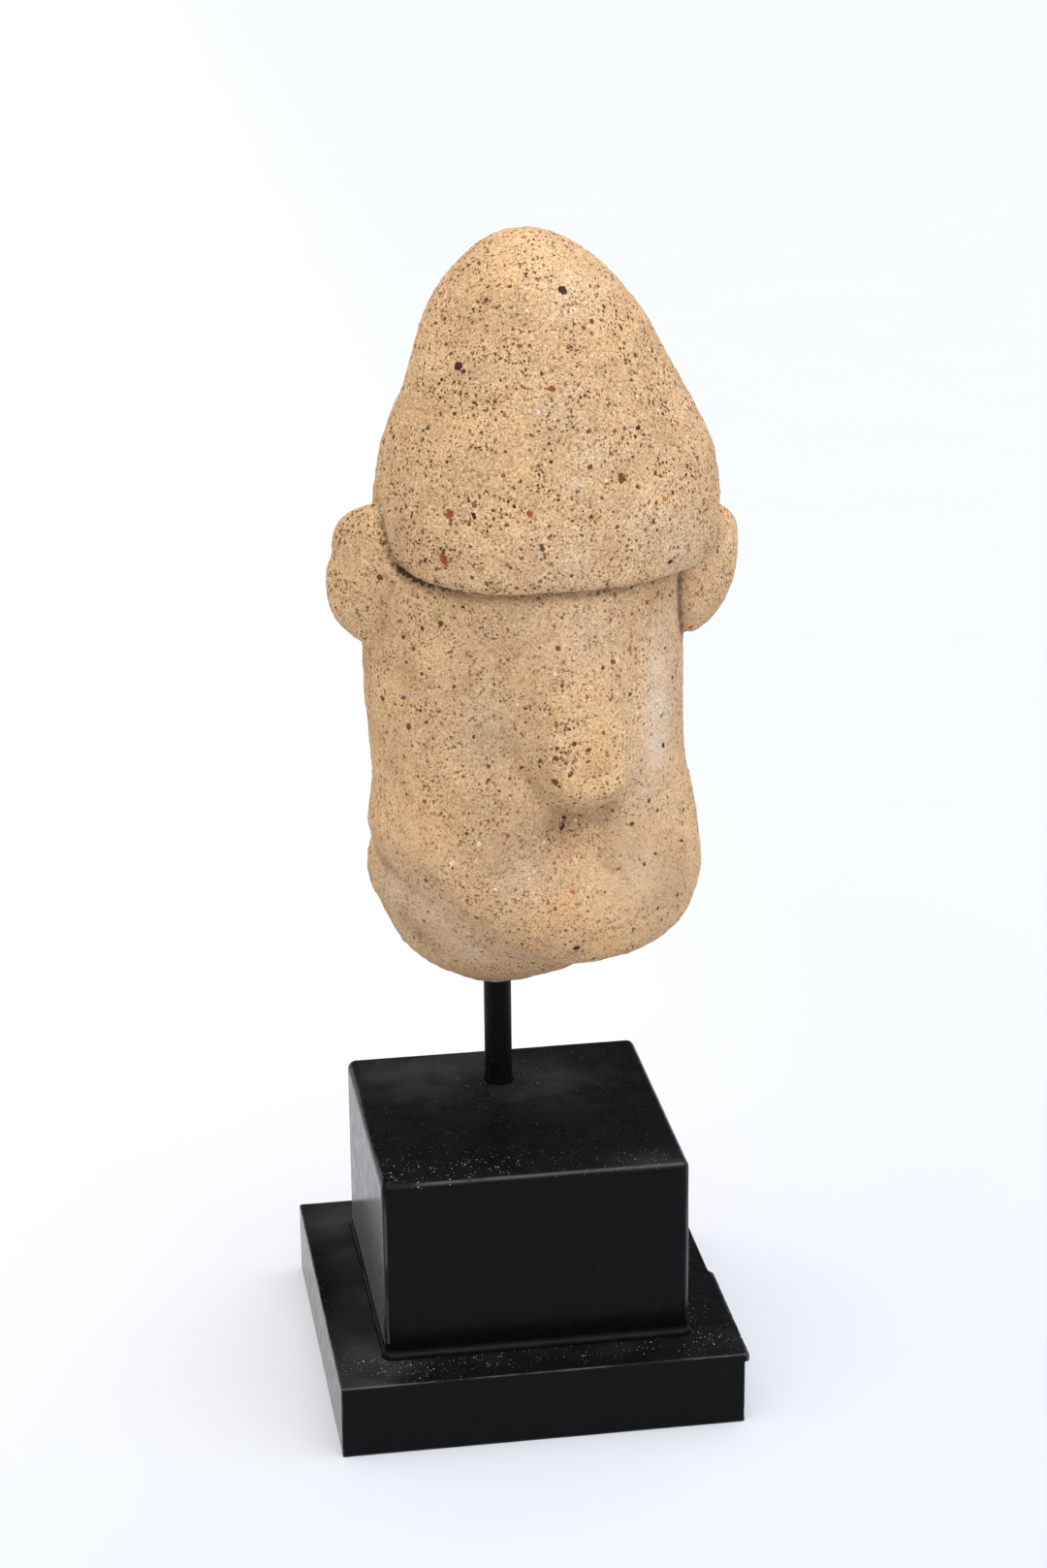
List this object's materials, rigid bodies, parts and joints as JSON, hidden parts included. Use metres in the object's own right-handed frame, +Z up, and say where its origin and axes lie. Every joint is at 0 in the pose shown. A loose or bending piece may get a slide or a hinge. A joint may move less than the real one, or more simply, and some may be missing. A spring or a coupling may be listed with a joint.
{
  "type": "terracotta head sculpture",
  "caption": "Blank-faced terracotta head with a pointed cap, wedge nose and flap ears, on a steel rod in a stepped black wooden base.",
  "frame": {"origin": "middle of the base slab's underside, on the surface that it stands on", "axes": "+Z up through the head, -Y towards the front of the base, +X to the right of someone looking at the front"},
  "size_m": [0.1003, 0.092, 0.2625],
  "materials": {
    "terracotta": "unglazed, sandy, matte",
    "black_steel": "satin black",
    "black_painted_wood": "black satin paint, dusty and slightly worn"
  },
  "bodies": {
    "root": {"terracotta_head": "terracotta", "mount_rod": "black_steel", "base_block": "black_painted_wood", "base_slab": "black_painted_wood"}
  },
  "joints": []
}
